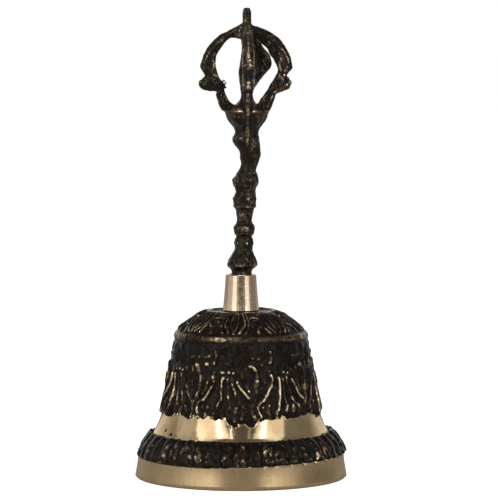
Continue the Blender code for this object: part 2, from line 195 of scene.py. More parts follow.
# A prong's stations from the tip down: outer edge (out, up), inner edge (out, up), half width
LEFT_PRONG = [
    (0.7, 160.6, 0.7, 154.2, 1.4), (2.6, 159.5, 2.4, 154.6, 1.5), (5.2, 158.1, 4.6, 155.1, 1.6),
    (8.4, 156.3, 6.6, 154.6, 1.7), (12.3, 152.8, 9.1, 151.7, 1.8), (14.2, 150.2, 10.3, 149.6, 1.85),
    (15.3, 148.2, 10.9, 147.8, 1.9), (16.3, 145.7, 11.1, 145.6, 2.05), (16.2, 144.3, 10.9, 144.2, 2.0),
    (15.2, 142.8, 10.5, 142.8, 1.8), (14.7, 141.5, 10.0, 141.4, 1.75), (15.9, 140.3, 9.3, 140.3, 1.85),
    (16.8, 138.9, 8.4, 139.3, 1.95), (16.2, 137.3, 8.1, 138.2, 1.9), (13.5, 136.4, 7.9, 137.0, 1.7),
    (10.6, 136.1, 7.8, 136.0, 1.55), (9.8, 134.0, 7.0, 134.0, 1.5), (9.0, 131.2, 5.7, 132.0, 1.55),
    (7.9, 129.2, 3.0, 130.5, 1.6), (6.5, 126.9, 1.5, 127.2, 1.4), (4.4, 123.0, 1.2, 123.4, 1.1),
]
RIGHT_PRONG = [
    (0.7, 160.6, 0.7, 154.0, 1.4), (2.4, 159.2, 2.2, 154.2, 1.5), (3.9, 158.9, 3.4, 154.6, 1.6),
    (7.4, 157.3, 5.3, 152.9, 1.75), (11.0, 154.9, 7.3, 151.1, 1.85), (13.4, 151.6, 7.9, 149.6, 1.9),
    (15.0, 148.1, 9.6, 147.2, 1.9), (16.0, 145.0, 10.7, 144.7, 2.05), (15.5, 143.7, 10.9, 143.7, 1.9),
    (13.9, 142.5, 10.7, 142.5, 1.75), (13.5, 141.4, 10.0, 141.2, 1.75), (14.5, 140.1, 9.2, 140.0, 1.85),
    (15.3, 138.4, 8.2, 138.6, 1.95), (14.8, 137.1, 7.7, 137.6, 1.85), (12.6, 136.2, 7.1, 136.6, 1.65),
    (10.3, 135.3, 6.5, 135.5, 1.5), (8.9, 133.4, 5.3, 134.1, 1.5), (8.2, 131.4, 4.0, 132.2, 1.6),
    (7.7, 129.3, 2.4, 129.8, 1.6), (6.6, 126.9, 1.6, 127.3, 1.5), (4.6, 123.0, 1.2, 123.4, 1.1),
]
FRONT_AZIMUTH = 2.3
# The prongs: name, stations, azimuth, twist, how much broader it grows, reach of its snout
PRONGS = [
    ("left", LEFT_PRONG, -90, 0.0, 0.0, 16.0),
    ("right", RIGHT_PRONG, 90, 0.0, 0.0, 14.9),
    ("front", LEFT_PRONG, FRONT_AZIMUTH, 0.0, 0.0, 16.0),
    ("back", LEFT_PRONG, 180, -25.0, 0.6, 15.4),
]
# The snout's reach that a head's details are drawn for
SNOUT_REACH = 16.0
# Sides of the turned and lofted pieces
SHAFT_SIDES = 48
SPOKE_SIDES = 20
PRONG_SIDES = 20
WIRE_SIDES = 8
# Points of a loft within this many metres merge. The skin's voxel is in millimetres.
WELD = 0.00001
VOXEL = 0.262
# Rounds of smoothing that proud spots are measured against
PROUD_ROUNDS = 9
NOISE_CELLS = 32


# ---- numbers and noise


def lattice_noise(points, size, seed):
    """Smooth 3-D noise from -1 to 1 with features about size across. points is an (n, 3) array."""
    table = np.random.default_rng(seed).uniform(-1.0, 1.0, (NOISE_CELLS,) * 3)
    cells = points / size
    low = np.floor(cells).astype(int)
    part = cells - low
    part = part * part * (3 - 2 * part)
    total = np.zeros(len(points))
    for corner in np.ndindex(2, 2, 2):
        weight = np.ones(len(points))
        for axis in range(3):
            weight *= part[:, axis] if corner[axis] else 1 - part[:, axis]
        index = [(low[:, axis] + corner[axis]) % NOISE_CELLS for axis in range(3)]
        total += weight * table[index[0], index[1], index[2]]
    return total


def layered(points, *layers):
    """Sum of noises at the points. Each layer is its amount, size and seed."""
    return sum(amount * lattice_noise(points, size, seed) for amount, size, seed in layers)


def smooth_step(value, start, end):
    share = np.clip((value - start) / (end - start), 0.0, 1.0)
    return share * share * (3 - 2 * share)


def curve_through(points, steps):
    """Catmull-Rom curve through the points, as an array with that many steps to each span."""
    points = np.array(points, float)
    padded = np.vstack([2 * points[0] - points[1], points, 2 * points[-1] - points[-2]])
    out = []
    for i in range(1, len(padded) - 2):
        a, b, c, d = padded[i - 1 : i + 3]
        square, cube = 2 * a - 5 * b + 4 * c - d, 3 * b - a - 3 * c + d
        out += [0.5 * (2 * b + (c - a) * t + square * t**2 + cube * t**3) for t in np.arange(steps) / steps]
    out.append(points[-1])
    return np.array(out)


def unit(rows):
    """The rows scaled to length 1."""
    return rows / np.maximum(np.linalg.norm(rows, axis=1, keepdims=True), 1e-9)


def resample(points, spacing):
    """Points at an even spacing along a polyline."""
    points = np.array(points, float)
    along = np.concatenate([[0.0], np.cumsum(np.linalg.norm(np.diff(points, axis=0), axis=1))])
    count = max(2, int(round(along[-1] / spacing)) + 1)
    places = np.linspace(0.0, along[-1], count)
    return np.column_stack([np.interp(places, along, points[:, k]) for k in range(points.shape[1])])


def stroke(across, up, points, half_width):
    """1 along a stroke's middle, rounded down to 0 a little outside its half width."""
    path = curve_through(points, 5)
    nearest = np.full(across.shape, 1e9)
    for start, end in zip(path[:-1], path[1:]):
        step = end - start
        share = ((across - start[0]) * step[0] + (up - start[1]) * step[1]) / (step @ step)
        share = np.clip(share, 0.0, 1.0)
        gap = np.hypot(across - start[0] - share * step[0], up - start[1] - share * step[1])
        nearest = np.minimum(nearest, gap)
    return np.clip(1 - (nearest / (half_width * 1.25)) ** 2, 0.0, 1.0) ** 1.1


def bead(across, up, place):
    """1 at a bead's middle, rounded down to 0 at its radius. place is (across, up, radius)."""
    return np.clip(1 - ((across - place[0]) ** 2 + (up - place[1]) ** 2) / place[2] ** 2, 0.0, 1.0) ** 0.7


# ---- the bell


def around(radius, turn, height):
    """Places at a radius from Z, a turn from the front in radians, and a height."""
    return np.column_stack([radius * np.sin(turn), -radius * np.cos(turn), height])


def fold(azimuth, middle, period):
    """Degrees from the nearest repeat of a motif, from minus half a period to plus half."""
    return (azimuth - middle + period / 2) % period - period / 2


def waist_relief(azimuth, height, spots):
    """Height of the festoons, bars, beads and worn lumps on the waist."""
    warp_across = layered(spots, (0.60, 5.0, 11), (0.24, 1.8, 12))
    warp_up = layered(spots, (0.6, 5.0, 13), (0.2, 1.9, 14))
    relief = np.zeros_like(height)
    up = height + warp_up
    thicker = 1 + 0.2 * smooth_step(-height, -30.0, -23.0)
    for shift in (-SECTOR_DEG, 0.0, SECTOR_DEG):
        local = fold(azimuth, FAN_AZIMUTH, SECTOR_DEG) + shift
        across = np.radians(local) * WAIST_RADIUS + warp_across
        for points, half_width, tall in FAN_STRINGS:
            relief = np.maximum(relief, tall * stroke(across, up, points, half_width * thicker))
        for places, rise in ((FAN_BEADS, BEAD_RISE), (WORN_LUMPS, LUMP_RISE)):
            for place in places:
                relief = np.maximum(relief, rise * bead(across, up, place))
    relief *= 0.90 + layered(spots, (0.38, 7.0, 16), (0.20, 2.4, 17))
    drawn_out = np.column_stack([np.radians(azimuth) * WAIST_RADIUS, 0 * azimuth, height * 0.28])
    hatch = 1 - np.abs(lattice_noise(drawn_out, 1.6, 15)) * 2.2
    return relief + 0.12 * np.clip(hatch, 0, 1) * (1 - 0.6 * np.clip(relief, 0, 1))


def crown_relief(azimuth, radius, spots):
    """Height of the crown's lotus petals, rosettes and inner ring."""
    local = fold(azimuth, ROSETTE_AZIMUTH, SECTOR_DEG)
    relief = np.zeros_like(radius)
    across = np.radians(local) * radius + 0.35 * lattice_noise(spots, 3.0, 21)
    out = radius + 0.35 * lattice_noise(spots, 2.6, 22)
    from_rosette = np.hypot(across, out - ROSETTE_RADIUS) + 0.3 * lattice_noise(spots, 1.3, 23)
    for ring in (0.7, 2.2):
        relief = np.maximum(relief, ROSETTE_RISE * np.clip(1 - ((from_rosette - ring) / 0.6) ** 2, 0, 1))
    for angle_points, half_width in CROWN_STRINGS:
        points = [(math.radians(angle) * r, r) for angle, r in angle_points]
        for side in (-1, 1) if points[0][0] > 0 else (1,):
            mirrored = [(side * a, r) for a, r in points]
            relief = np.maximum(relief, PETAL_RISE * stroke(across, out, mirrored, half_width))
    relief *= 0.95 + 0.35 * lattice_noise(spots, 3.0, 24)
    inner_ring = np.clip(1 - ((radius - INNER_RING_RADIUS) / 0.95) ** 2, 0, 1)
    return np.maximum(relief, INNER_RING_RISE * inner_ring)


def rib_relief(azimuth, height, spots):
    """Arch-topped ribs round the lip, wide and narrow by turns, each a little different."""
    sway = 1.3 * lattice_noise(spots, 4.0, 31)
    phase = (azimuth + sway) * RIBS / 360
    number = np.round(phase)
    uneven = 0.22 * np.sin(number * 2.4) + 0.18 * np.where(number % 2 == 0, 1.0, -1.0)
    across = 2 * np.abs(phase - number) / (0.96 + 0.22 * uneven)
    rounded = np.sqrt(np.clip(1 - across**2, 0.0, 1.0))
    arch_top = ARCH_TOP + 0.3 * uneven + 0.3 * np.sin(np.radians(azimuth)) - np.clip(across, 0, 1) ** 2
    top = smooth_step(arch_top - height, -0.1, 0.7)
    tall = 1.6 + 0.4 * uneven + 0.7 * (1 - smooth_step(np.abs(fold(azimuth, 95.0, 360)), 5.0, 28.0))
    lumps = 0.16 * lattice_noise(spots, 1.7, 32)
    return (tall * rounded + lumps) * top


def bell_rows():
    """The bell's whole section as rows (radius, height) with a zone for each row."""
    zones = [
        ("waist", thicken_rows(resample(curve_through(CROWN_AND_WAIST, 6), RELIEF_ROW))),
        ("ribs", resample(curve_through(RIB_BAND, 6), RELIEF_ROW)),
        ("lip", resample(curve_through(LIP[:-1], 6), PLAIN_ROW)),
        ("rim", np.array(LIP[-1:] + INSIDE[:1], float)),
        ("inside", resample(INSIDE[1:-1], INSIDE_ROW)),
        ("hole", np.array(INSIDE[-1:], float)),
    ]
    rows = np.vstack([rows for _, rows in zones])
    names = [name for name, rows in zones for _ in rows]
    return rows, np.array(names)


def thicken_rows(rows):
    """Puts a row between each pair where the casting's ragged edge meets the upper band."""
    out = [rows[0]]
    for before, row in zip(rows[:-1], rows[1:]):
        if RAGGED_LOW < row[1] < RAGGED_HIGH:
            out.append((before + row) / 2)
        out.append(row)
    return np.array(out)


def profile_normals(profile):
    """Outward normals of a profile of (radius, height) rows."""
    tangent = unit(np.gradient(profile, axis=0))
    return np.column_stack([-tangent[:, 1], tangent[:, 0]])


def on_line(line, height):
    """Radius of a line of (radius, height) points at a height."""
    points = np.array(sorted(line, key=lambda point: point[1]))
    return np.interp(height, points[:, 1], points[:, 0])


def band_edge(azimuth, spots):
    """Height at which the upper polished band gives way to the casting, ragged and with drips."""
    edge = BAND_EDGE + layered(spots, (0.45, 3.2, 61), (0.5, 1.3, 62), (0.4, 0.65, 67))
    for middle, half_width, drop in BAND_DRIPS:
        away = np.abs(fold(azimuth, middle, 360)) / half_width
        edge = edge - drop * (1 - smooth_step(away, 0.45, 1.0))
    return edge


def turn_band(azimuth, radius, height, spots):
    """Cuts the waist's lower end to a cone.

    Gives the new radius, how far each spot is turned, and how near it is to the ledge over the band.
    """
    edge = band_edge(azimuth, spots)
    cone = on_line(UPPER_CUT, height)
    stands = radius - cone
    reach = edge + 1.1 * smooth_step(lattice_noise(spots, 2.0, 66), 0.10, 0.35) - height
    shaved = (stands > 0) & (reach > 0)
    turned = smooth_step(stands, -0.12, 0.06) * smooth_step(reach, -0.12, 0.12)
    for middle, level, half_across, half_up in BAND_PITS:
        across = np.radians(fold(azimuth, middle, 360)) * radius
        out = np.hypot(across / half_across, (height - level) / half_up)
        turned = turned * smooth_step(out + 0.35 * lattice_noise(spots, 0.6, 63), 0.8, 1.0)
    foot = BAND_FOOT + 0.2 * np.sin(np.radians(azimuth)) + 0.22 * lattice_noise(spots, 1.6, 64)
    turned = turned * smooth_step(height, foot - 0.15, foot + 0.15)
    pitted = shaved & (turned < 0.5) & (height > 16.5)
    new_radius = np.where(shaved, cone, radius) - 0.25 * pitted
    return new_radius, turned, smooth_step(height - edge, 2.2, 0.4) * smooth_step(height, 15.0, 18.0)


def turn_lip(azimuth, radius, height, spots):
    """Cuts the ribs' lower ends flush with the polished lip."""
    edge = LIP_EDGE + 0.65 * np.sin(np.radians(azimuth)) + 0.16 * lattice_noise(spots, 1.8, 65)
    cut = on_line(LOWER_CUT, height)
    shaved = (radius > cut) & (height < edge)
    return np.where(shaved, cut, radius), smooth_step(edge - height, -0.2, 0.2)


def sheltered(height, waist, ribs, ledge):
    """How much patina stays on, mostly at the band's ledge, in the frieze and at the ribs' ends."""
    quiet = 0.25 * ledge + 0.07 * ribs + 0.03 * (waist & (height > 51.5))
    quiet += 0.14 * smooth_step(height, 41.5, 43.5) * (waist & (height < 49.0))
    ends = 0.35 * smooth_step(height, 14.2, 15.2) + 0.3 * smooth_step(-height, -9.6, -8.6)
    return quiet + ends * ribs


def make_bell():
    """The bell, with its relief and bands outside, and the attributes that paint it."""
    rows, zone = bell_rows()
    count = len(rows)
    fine = count - int((zone == "inside").sum()) - 1
    az = np.tile(np.arange(BELL_COLUMNS) * 360 / BELL_COLUMNS, fine)
    radius, height = np.repeat(rows[:fine], BELL_COLUMNS, axis=0).T
    normal = np.repeat(profile_normals(rows)[:fine], BELL_COLUMNS, axis=0)
    zone = np.repeat(zone[:fine], BELL_COLUMNS)
    turn = np.radians(az)
    spots = around(radius, turn, height)

    waist = zone == "waist"
    ribs = zone == "ribs"
    lifted = np.zeros(len(az))
    below_ring = 1 - smooth_step(height[waist], 48.7, 49.4)
    above_ring = smooth_step(height[waist], 51.8, 52.6)
    ring = np.clip(1 - ((height - RING_HEIGHT) / RING_HALF_WIDTH) ** 2, 0, 1) ** 0.5 * waist
    lifted[waist] = waist_relief(az[waist], height[waist], spots[waist]) * below_ring
    lifted[waist] += crown_relief(az[waist], radius[waist], spots[waist]) * above_ring
    lifted[waist] = np.maximum(lifted[waist], RING_RISE * ring[waist])
    groove = smooth_step(height[ribs], 7.5, 8.6)
    lifted[ribs] = (rib_relief(az[ribs], height[ribs], spots[ribs]) - 0.95) * groove + 0.35 * (1 - groove)
    rough = layered(spots, (0.16, 2.4, 41), (0.08, 1.1, 42), (0.05, 0.6, 43))
    lifted += np.where(waist | ribs, rough * (1 - 0.75 * ring), 0.0)

    r = radius + lifted * normal[:, 0]
    h = height + lifted * normal[:, 1]
    turned = np.where(waist | ribs, 0.0, 1.0)
    ledge = np.zeros(len(az))
    r[waist], turned[waist], ledge[waist] = turn_band(az[waist], r[waist], h[waist], spots[waist])
    r[ribs], turned[ribs] = turn_lip(az[ribs], r[ribs], h[ribs], spots[ribs])
    outside = around(r, turn, np.maximum(h, 0.0))

    inner_turn = np.arange(INSIDE_COLUMNS) * math.tau / INSIDE_COLUMNS
    inner = [around(a, inner_turn, np.full(INSIDE_COLUMNS, b)) for a, b in rows[fine:]]
    verts = np.vstack([outside] + inner)
    obj = mesh_object("bell_shell_relief", verts * MM, bell_faces(fine, count - fine))
    is_inside = np.arange(len(verts)) >= len(outside)

    def whole(values):
        """The outside's values, with zeros for the inside."""
        return np.concatenate([values, np.zeros(len(verts) - len(outside))])

    flecks = 0.26 * lattice_noise(spots, 0.85, 44) * ribs - sheltered(height, waist, ribs, ledge)
    rub = 0.5 + convexity(obj.data) / 0.55 + whole(flecks)
    set_attribute(obj, "rub", np.clip(rub, 0, 1.25) * ~is_inside)
    set_attribute(obj, "turned", whole(turned))
    set_attribute(obj, "satin", whole(height < SATIN_TOP))
    set_attribute(obj, "inside", is_inside)
    set_attribute(obj, "ring", whole(ring))
    return obj


def bell_faces(fine, coarse):
    """Quads between the rows, and wider faces where the outside's columns meet the inside's."""
    outer = np.arange(fine * BELL_COLUMNS).reshape(fine, BELL_COLUMNS)
    inner = fine * BELL_COLUMNS + np.arange(coarse * INSIDE_COLUMNS).reshape(coarse, INSIDE_COLUMNS)
    faces = []
    for grid in (outer, inner):
        right = np.roll(grid, -1, axis=1)
        faces += np.stack([grid[:-1], grid[1:], right[1:], right[:-1]], axis=-1).reshape(-1, 4).tolist()
    step = BELL_COLUMNS // INSIDE_COLUMNS
    for i in range(INSIDE_COLUMNS):
        wide = np.arange(i * step, (i + 1) * step + 1) % BELL_COLUMNS
        pair = np.array([i, (i + 1) % INSIDE_COLUMNS])
        faces.append(outer[-1][wide[::-1]].tolist() + inner[0][pair].tolist())
        faces.append(outer[0][wide].tolist() + inner[-1][pair[::-1]].tolist())
    return faces


# ---- mesh helpers


def placed(name, data):
    """A new object in the scene that shows the data."""
    obj = bpy.data.objects.new(name, data)
    bpy.context.scene.collection.objects.link(obj)
    return obj


def mesh_object(name, verts, faces):
    mesh = bpy.data.meshes.new(name)
    mesh.from_pydata(verts.tolist(), [], faces)
    mesh.update()
    mesh.shade_smooth()
    return placed(name, mesh)


def finished(bm, name):
    """A mesh with what a bmesh holds. The bmesh is freed."""
    mesh = bpy.data.meshes.new(name)
    bm.to_mesh(mesh)
    bm.free()
    return mesh


def set_attribute(obj, name, values):
    attribute = obj.data.attributes.new(name, "FLOAT", "POINT")
    attribute.data.foreach_set("value", np.asarray(values, np.float32))


def gathered(collection, name, width, kind=np.float32):
    """One property of a mesh's vertices, normals or edges, as an array with a row for each."""
    flat = np.zeros(len(collection) * width, kind)
    collection.foreach_get(name, flat)
    return flat.reshape(-1, width)


def coordinates(mesh):
    return gathered(mesh.vertices, "co", 3).astype(float)


def normals_of(mesh):
    return gathered(mesh.vertex_normals, "vector", 3).astype(float)


def neighbour_mean(values, pairs):
    """Each vertex's mean over its neighbours, for an (n, k) array of values."""
    count = len(values)
    total = np.zeros_like(values)
    number = np.zeros(count)
    for a, b in ((0, 1), (1, 0)):
        for column in range(values.shape[1]):
            total[:, column] += np.bincount(pairs[:, a], values[pairs[:, b], column], count)
        number += np.bincount(pairs[:, a], minlength=count)
    return total / np.maximum(number, 1)[:, None]


def smoothed(mesh, rounds):
    """The vertices' places after rounds of moving each halfway to its neighbours' mean."""
    pairs = gathered(mesh.edges, "vertices", 2, np.int32)
    places = coordinates(mesh)
    for _ in range(rounds):
        places = 0.5 * places + 0.5 * neighbour_mean(places, pairs)
    return places


def convexity(mesh):
    """How far each vertex stands out of its surroundings, in millimetres."""
    proud = coordinates(mesh) - smoothed(mesh, PROUD_ROUNDS)
    return np.einsum("ij,ij->i", proud, normals_of(mesh)) / MM


def loft(name, sections, cap=True):
    """A tube through sections of equal point counts, each an (n, 3) array in millimetres."""
    sections = np.array(sections)
    rings, sides = sections.shape[:2]
    base = np.arange(rings * sides).reshape(rings, sides)
    step = np.roll(base, -1, axis=1)
    faces = np.stack([base[:-1], step[:-1], step[1:], base[1:]], axis=-1).reshape(-1, 4).tolist()
    if cap:
        faces += [base[0][::-1].tolist(), base[-1].tolist()]
    mesh = bpy.data.meshes.new(name)
    mesh.from_pydata((sections.reshape(-1, 3) * MM).tolist(), [], faces)
    bm = bmesh.new()
    bm.from_mesh(mesh)
    bmesh.ops.remove_doubles(bm, verts=bm.verts, dist=WELD)
    bmesh.ops.recalc_face_normals(bm, faces=bm.faces)
    bm.to_mesh(mesh)
    bm.free()
    return mesh


# ---- the handle casting


def axis_x(height):
    """How far the grip's crooked axis lies to +X at a height."""
    return np.interp(height, *np.array(HANDLE_AXIS).T)


def shaft_centre(height, radius):
    """The grip follows its crooked axis, and its bore stays straight."""
    return 0.0 if radius < BORE_REACH and height < BORE_TOP else float(axis_x(height))


def turned_sections(outline, sides, centre, lobes=None):
    """Rings round the handle's axis, with optional lobes that vary with the height."""
    angle = np.arange(sides) * math.tau / sides
    sections = []
    for radius, height in outline:
        out = max(radius, 0.02) * np.ones(sides)
        if lobes:
            out = out + lobes(height, angle, radius)
        x = centre(height, radius) + out * np.sin(angle)
        sections.append(np.column_stack([x, -out * np.cos(angle), np.full(sides, height)]))
    return sections


def grip_lobes(height, angle, radius):
    """Leaves round the base bulb and the cup, faces of the knots, and the lopsided S above them."""
    if radius < 2.5 or height < 73.2:
        return 0.0 * angle
    leaf = np.abs(np.cos(3.5 * angle + 0.5))
    base = 0.5 * smooth_step(-abs(height - 76.4), -3.0, -0.6) * (leaf - 0.5 * np.clip(1 - leaf * 5, 0, 1))
    cup = 0.45 * smooth_step(-abs(height - 126.4), -3.2, -0.4) * np.abs(np.cos(4 * angle))
    knots = 0.0
    for middle, span, number in KNOTS:
        near = smooth_step(-abs(height - middle), -span, -0.5)
        knots = knots + 0.22 * near * np.cos(number * angle + middle)
    collars = sum(proud * math.exp(-((height - level) / half) ** 2) for level, proud, half in COLLARS)
    lumps = sum(
        proud * math.exp(-((height - level) / half) ** 2) * np.clip(np.cos(angle - turn), 0, 1) ** 2
        for proud, level, half, turn in GRIP_LUMPS
    )
    return base + cup + knots + collars + lumps - 0.14


def prong_turn(azimuth, twist, up):
    """Where a prong points, in radians, at a height. A twisted one is skewed most in mid bow."""
    share = smooth_step(up, 134.0, 147.0) - 0.25 * smooth_step(up, 148.5, 152.5)
    return math.radians(azimuth) + math.radians(twist) * share


def on_prong(azimuth, out, up, side=0.0, twist=0.0):
    """A place out from the finial's axis, up, and to one side of a prong's middle plane."""
    turn = prong_turn(azimuth, twist, up)
    x = FINIAL_X + out * np.sin(turn) + side * np.cos(turn)
    return x, side * np.sin(turn) - out * np.cos(turn), up


def prong_mesh(name, stations, azimuth, twist, broader):
    """A prong lofted through its stations. A twisted one also spreads flat over its upper bow."""
    path = curve_through(stations, 4)
    angle = np.arange(PRONG_SIDES) * math.tau / PRONG_SIDES
    outward = np.cos(angle)
    sideways = np.sign(np.sin(angle)) * np.abs(np.sin(angle)) ** 0.75
    sideways = sideways * (1 - 0.42 * np.clip(outward, 0, 1) ** 2)
    sections = []
    for outer_r, outer_z, inner_r, inner_z, width in path:
        middle_r, middle_z = (outer_r + inner_r) / 2, (outer_z + inner_z) / 2
        reach_r, reach_z = (outer_r - inner_r) / 2, (outer_z - inner_z) / 2
        out = middle_r + outward * reach_r
        up = middle_z + outward * reach_z
        spread = smooth_step(middle_z, 138.5, 142.5) * (1 - 0.85 * smooth_step(middle_z, 148.0, 152.0))
        side = sideways * width * (1 + broader * spread)
        sections.append(np.column_stack(on_prong(azimuth, out, up, side, twist)))
    return loft(name, sections)


def wire_mesh(name, points, radius):
    """A tapered rod through (x, y, z) points in millimetres."""
    path = curve_through(points, 4)
    tangent = unit(np.gradient(path, axis=0))
    side = unit(np.cross(tangent, (0.31, 0.12, 0.94)))
    other = np.cross(tangent, side)
    angle = np.arange(WIRE_SIDES) * math.tau / WIRE_SIDES
    along = np.linspace(0.0, 1.0, len(path))
    taper = np.clip(along * (1 - along) * 14, 0.35, 1.0)
    sections = [
        centre + radius * share * (np.outer(np.cos(angle), a) + np.outer(np.sin(angle), b))
        for centre, share, a, b in zip(path, taper, side, other)
    ]
    return loft(name, sections)


def ball_mesh(name, centre, size):
    bm = bmesh.new()
    bmesh.ops.create_uvsphere(bm, u_segments=24, v_segments=16, radius=MM)
    bmesh.ops.scale(bm, vec=Vector(size), verts=bm.verts)
    bmesh.ops.translate(bm, vec=Vector(centre) * MM, verts=bm.verts)
    return finished(bm, name)


def monster_details(azimuth, snout, twist):
    """Eyes, nose, jaw, manes and ridges of a sea-monster head. snout is how far out its nose reaches."""
    pieces = []

    def lump(name, out, up, side, size):
        pieces.append(ball_mesh(name, on_prong(azimuth, out, up, side, twist), size))

    def ridge(name, line, side, radius, shift=0.0):
        points = [on_prong(azimuth, out + shift, up, side, twist) for out, up in line]
        pieces.append(wire_mesh(name, points, radius))

    shorter = 0.7 * (snout - SNOUT_REACH)
    mane = [(14.8 + shorter, 144.9), (14.4, 147.0), (13.2, 149.6), (11.0, 152.2), (8.4, 154.7)]
    inner_mane = [(12.2, 143.0), (11.6, 145.2), (11.9, 147.6), (11.0, 150.0)]
    jaw = [(snout - 0.5, 138.7), (13.2, 138.0), (11.2, 137.3), (9.4, 135.8)]
    for side in (-1, 1):
        lump("eye", 12.9, 141.8, 1.2 * side, (0.6, 0.6, 0.5))
        ridge("mane", mane, 1.5 * side, 0.42)
        ridge("inner_mane", inner_mane, 1.75 * side, 0.32)
        ridge("jaw", jaw, 1.45 * side, 0.42)
        ridge("shin_edge", [(9.2, 135.2), (8.0, 132.6), (6.9, 130.4)], 1.35 * side, 0.3)
    lump("nose", snout - 0.1, 139.2, 0.0, (0.9, 1.1, 0.95))
    ridge("crest", [(15.5, 146.8), (14.2, 149.9), (12.3, 152.6), (9.6, 155.2), (6.4, 157.2)], 0.0, 0.45)
    ridge("shin", [(10.6, 135.6), (9.9, 133.6), (9.2, 131.4), (8.1, 129.4)], 0.0, 0.55, shorter)
    ridge("bridge", [(15.7, 144.4), (14.7, 142.8), (14.2, 141.4), (15.6, 140.2)], 0.0, 0.55, shorter)
    for level, out in ((145.3, 15.6), (136.9, 12.6)):
        ends = [on_prong(azimuth, out + 0.5 * shorter, level, side, twist) for side in (-1.3, 0.0, 1.3)]
        pieces.append(wire_mesh("bar", ends, 0.5))
    return pieces


def burrs():
    """Casting flash left on the inner side of the left prong's jaw."""
    places = [(8.1, 139.9), (7.5, 139.1), (8.0, 138.3), (7.6, 137.5)]
    return [ball_mesh("burr", on_prong(-90, out, up, -0.6), (0.5, 0.4, 0.28)) for out, up in places]


def on_grip(level, angle, sunk):
    """A place on the grip's surface, or sunk that far under it."""
    outline = [(r, z) for r, z in HANDLE_OUTLINE if z > PLUG_TOP and r > BORE_REACH]
    out = float(on_line(outline, level)) - sunk
    return (float(axis_x(level)) + out * math.sin(angle), -out * math.cos(angle), level)


def bead_rows():
    """Beads round the grip's knots, set on its crooked axis."""
    pieces = []
    for level, number, size in BEAD_ROWS:
        for i in range(number):
            place = on_grip(level, math.tau * (i + 0.35) / number, 0.6 * size)
            pieces.append(ball_mesh("bead", place, (0.85 * size, 0.85 * size, size)))
    return pieces


def foot_leaves():
    """Pointed leaves round the grip's foot, each drawn as two veins that part downwards."""
    pieces = []
    for i in range(FOOT_LEAVES):
        for lean in (-0.36, 0.36):
            turn = math.tau * (i + 0.12) / FOOT_LEAVES
            points = [on_grip(level, turn + lean * share, 0.05) for level, share in LEAF_VEIN]
            pieces.append(wire_mesh("leaf", points, 0.36))
    return pieces


def joined(name, meshes):
    """One mesh from several, with nothing welded between them."""
    bm = bmesh.new()
    for mesh in meshes:
        bm.from_mesh(mesh)
        bpy.data.meshes.remove(mesh)
    return finished(bm, name)


def remeshed(mesh, name):
    """The outer skin of overlapping closed pieces, as one even mesh."""
    obj = placed(name, mesh)
    modifier = obj.modifiers.new("skin", "REMESH")
    modifier.mode = "VOXEL"
    modifier.voxel_size = VOXEL * MM
    bpy.context.view_layer.update()
    graph = bpy.context.evaluated_depsgraph_get()
    skin = bpy.data.meshes.new_from_object(obj.evaluated_get(graph))
    bpy.data.objects.remove(obj)
    skin.name = name
    return skin


def handle_pieces():
    """The shaft, spoke, prongs, heads and small relief, as closed meshes that overlap."""
    grip = turned_sections(resample_outline(HANDLE_OUTLINE), SHAFT_SIDES, shaft_centre, grip_lobes)
    spoke = turned_sections(curve_through(CENTRE_SPOKE, 3), SPOKE_SIDES, lambda height, radius: FINIAL_X)
    pieces = [loft("shaft", grip, cap=False), loft("spoke", spoke, cap=False)]
    for name, stations, azimuth, twist, broader, _ in PRONGS:
        pieces.append(prong_mesh(name, stations, azimuth, twist, broader))
    for _, _, azimuth, twist, _, snout in PRONGS:
        pieces += monster_details(azimuth, snout, twist)
    pieces += burrs() + bead_rows() + foot_leaves()
    ridge = [on_prong(FRONT_AZIMUTH, out, up) for out, up in FRONT_RIDGE]
    return pieces + [wire_mesh("front_ridge", ridge, 0.6)]


def make_handle():
    """The handle casting in one skin, roughened by noise, with the attributes that paint it."""
    skin = remeshed(joined("handle_pieces", handle_pieces()), "handle_casting_detailed")
    skin.vertices.foreach_set("co", smoothed(skin, 1).ravel())
    skin.update()
    here = coordinates(skin) / MM
    x, y, z = here.T
    free = smooth_step(z, 72.4, 73.6)
    finial = smooth_step(z, 124.0, 130.0)
    tip = smooth_step(z, 164.0, 165.0)
    wander = 0.20 * lattice_noise(here, 2.4, 51) * (1 - 0.5 * finial)
    wander += layered(here, (0.09, 1.2, 52), (0.04, 0.65, 53)) + 0.14 * finial * (1 - tip)
    moved = here + normals_of(skin) * (wander * free * (1 - 0.7 * tip))[:, None]
    skin.vertices.foreach_set("co", (moved * MM).ravel())
    skin.update()
    skin.shade_smooth()
    obj = placed("handle_casting_detailed", skin)
    # More brass towards the finial's tip, and a painted highlight: extra brass on the front prong, the -Y
    # side only
    tip_rub_and_front_highlight = 0.04 + 0.05 * smooth_step(z, 156.0, 161.0) + 0.02 * smooth_step(-y, 7.0, 9.0)
    rub = 0.5 + convexity(skin) / 0.42 + tip_rub_and_front_highlight
    set_attribute(obj, "rub", np.clip(rub, 0, 1.25))
    for name in ("turned", "satin", "inside"):
        set_attribute(obj, name, np.zeros(len(here)))
    rim = np.exp(-((z - 128.6) / 0.9) ** 2) + 0.6 * np.exp(-((z - 95.4) / 0.5) ** 2)
    away = np.hypot(x - axis_x(z), y)
    set_attribute(obj, "ring", np.clip(rim, 0, 1) * smooth_step(away, 3.2, 4.0))
    return obj


def resample_outline(outline):
    """The turned outline with its round stretches smoothed and its plug and bore kept sharp."""
    smooth_part = [p for p in outline if p[1] > PLUG_TOP and p[0] > BORE_REACH or p[1] > 100]
    return [tuple(p) for p in curve_through(smooth_part, 4)] + outline[len(smooth_part):]


# ---- materials


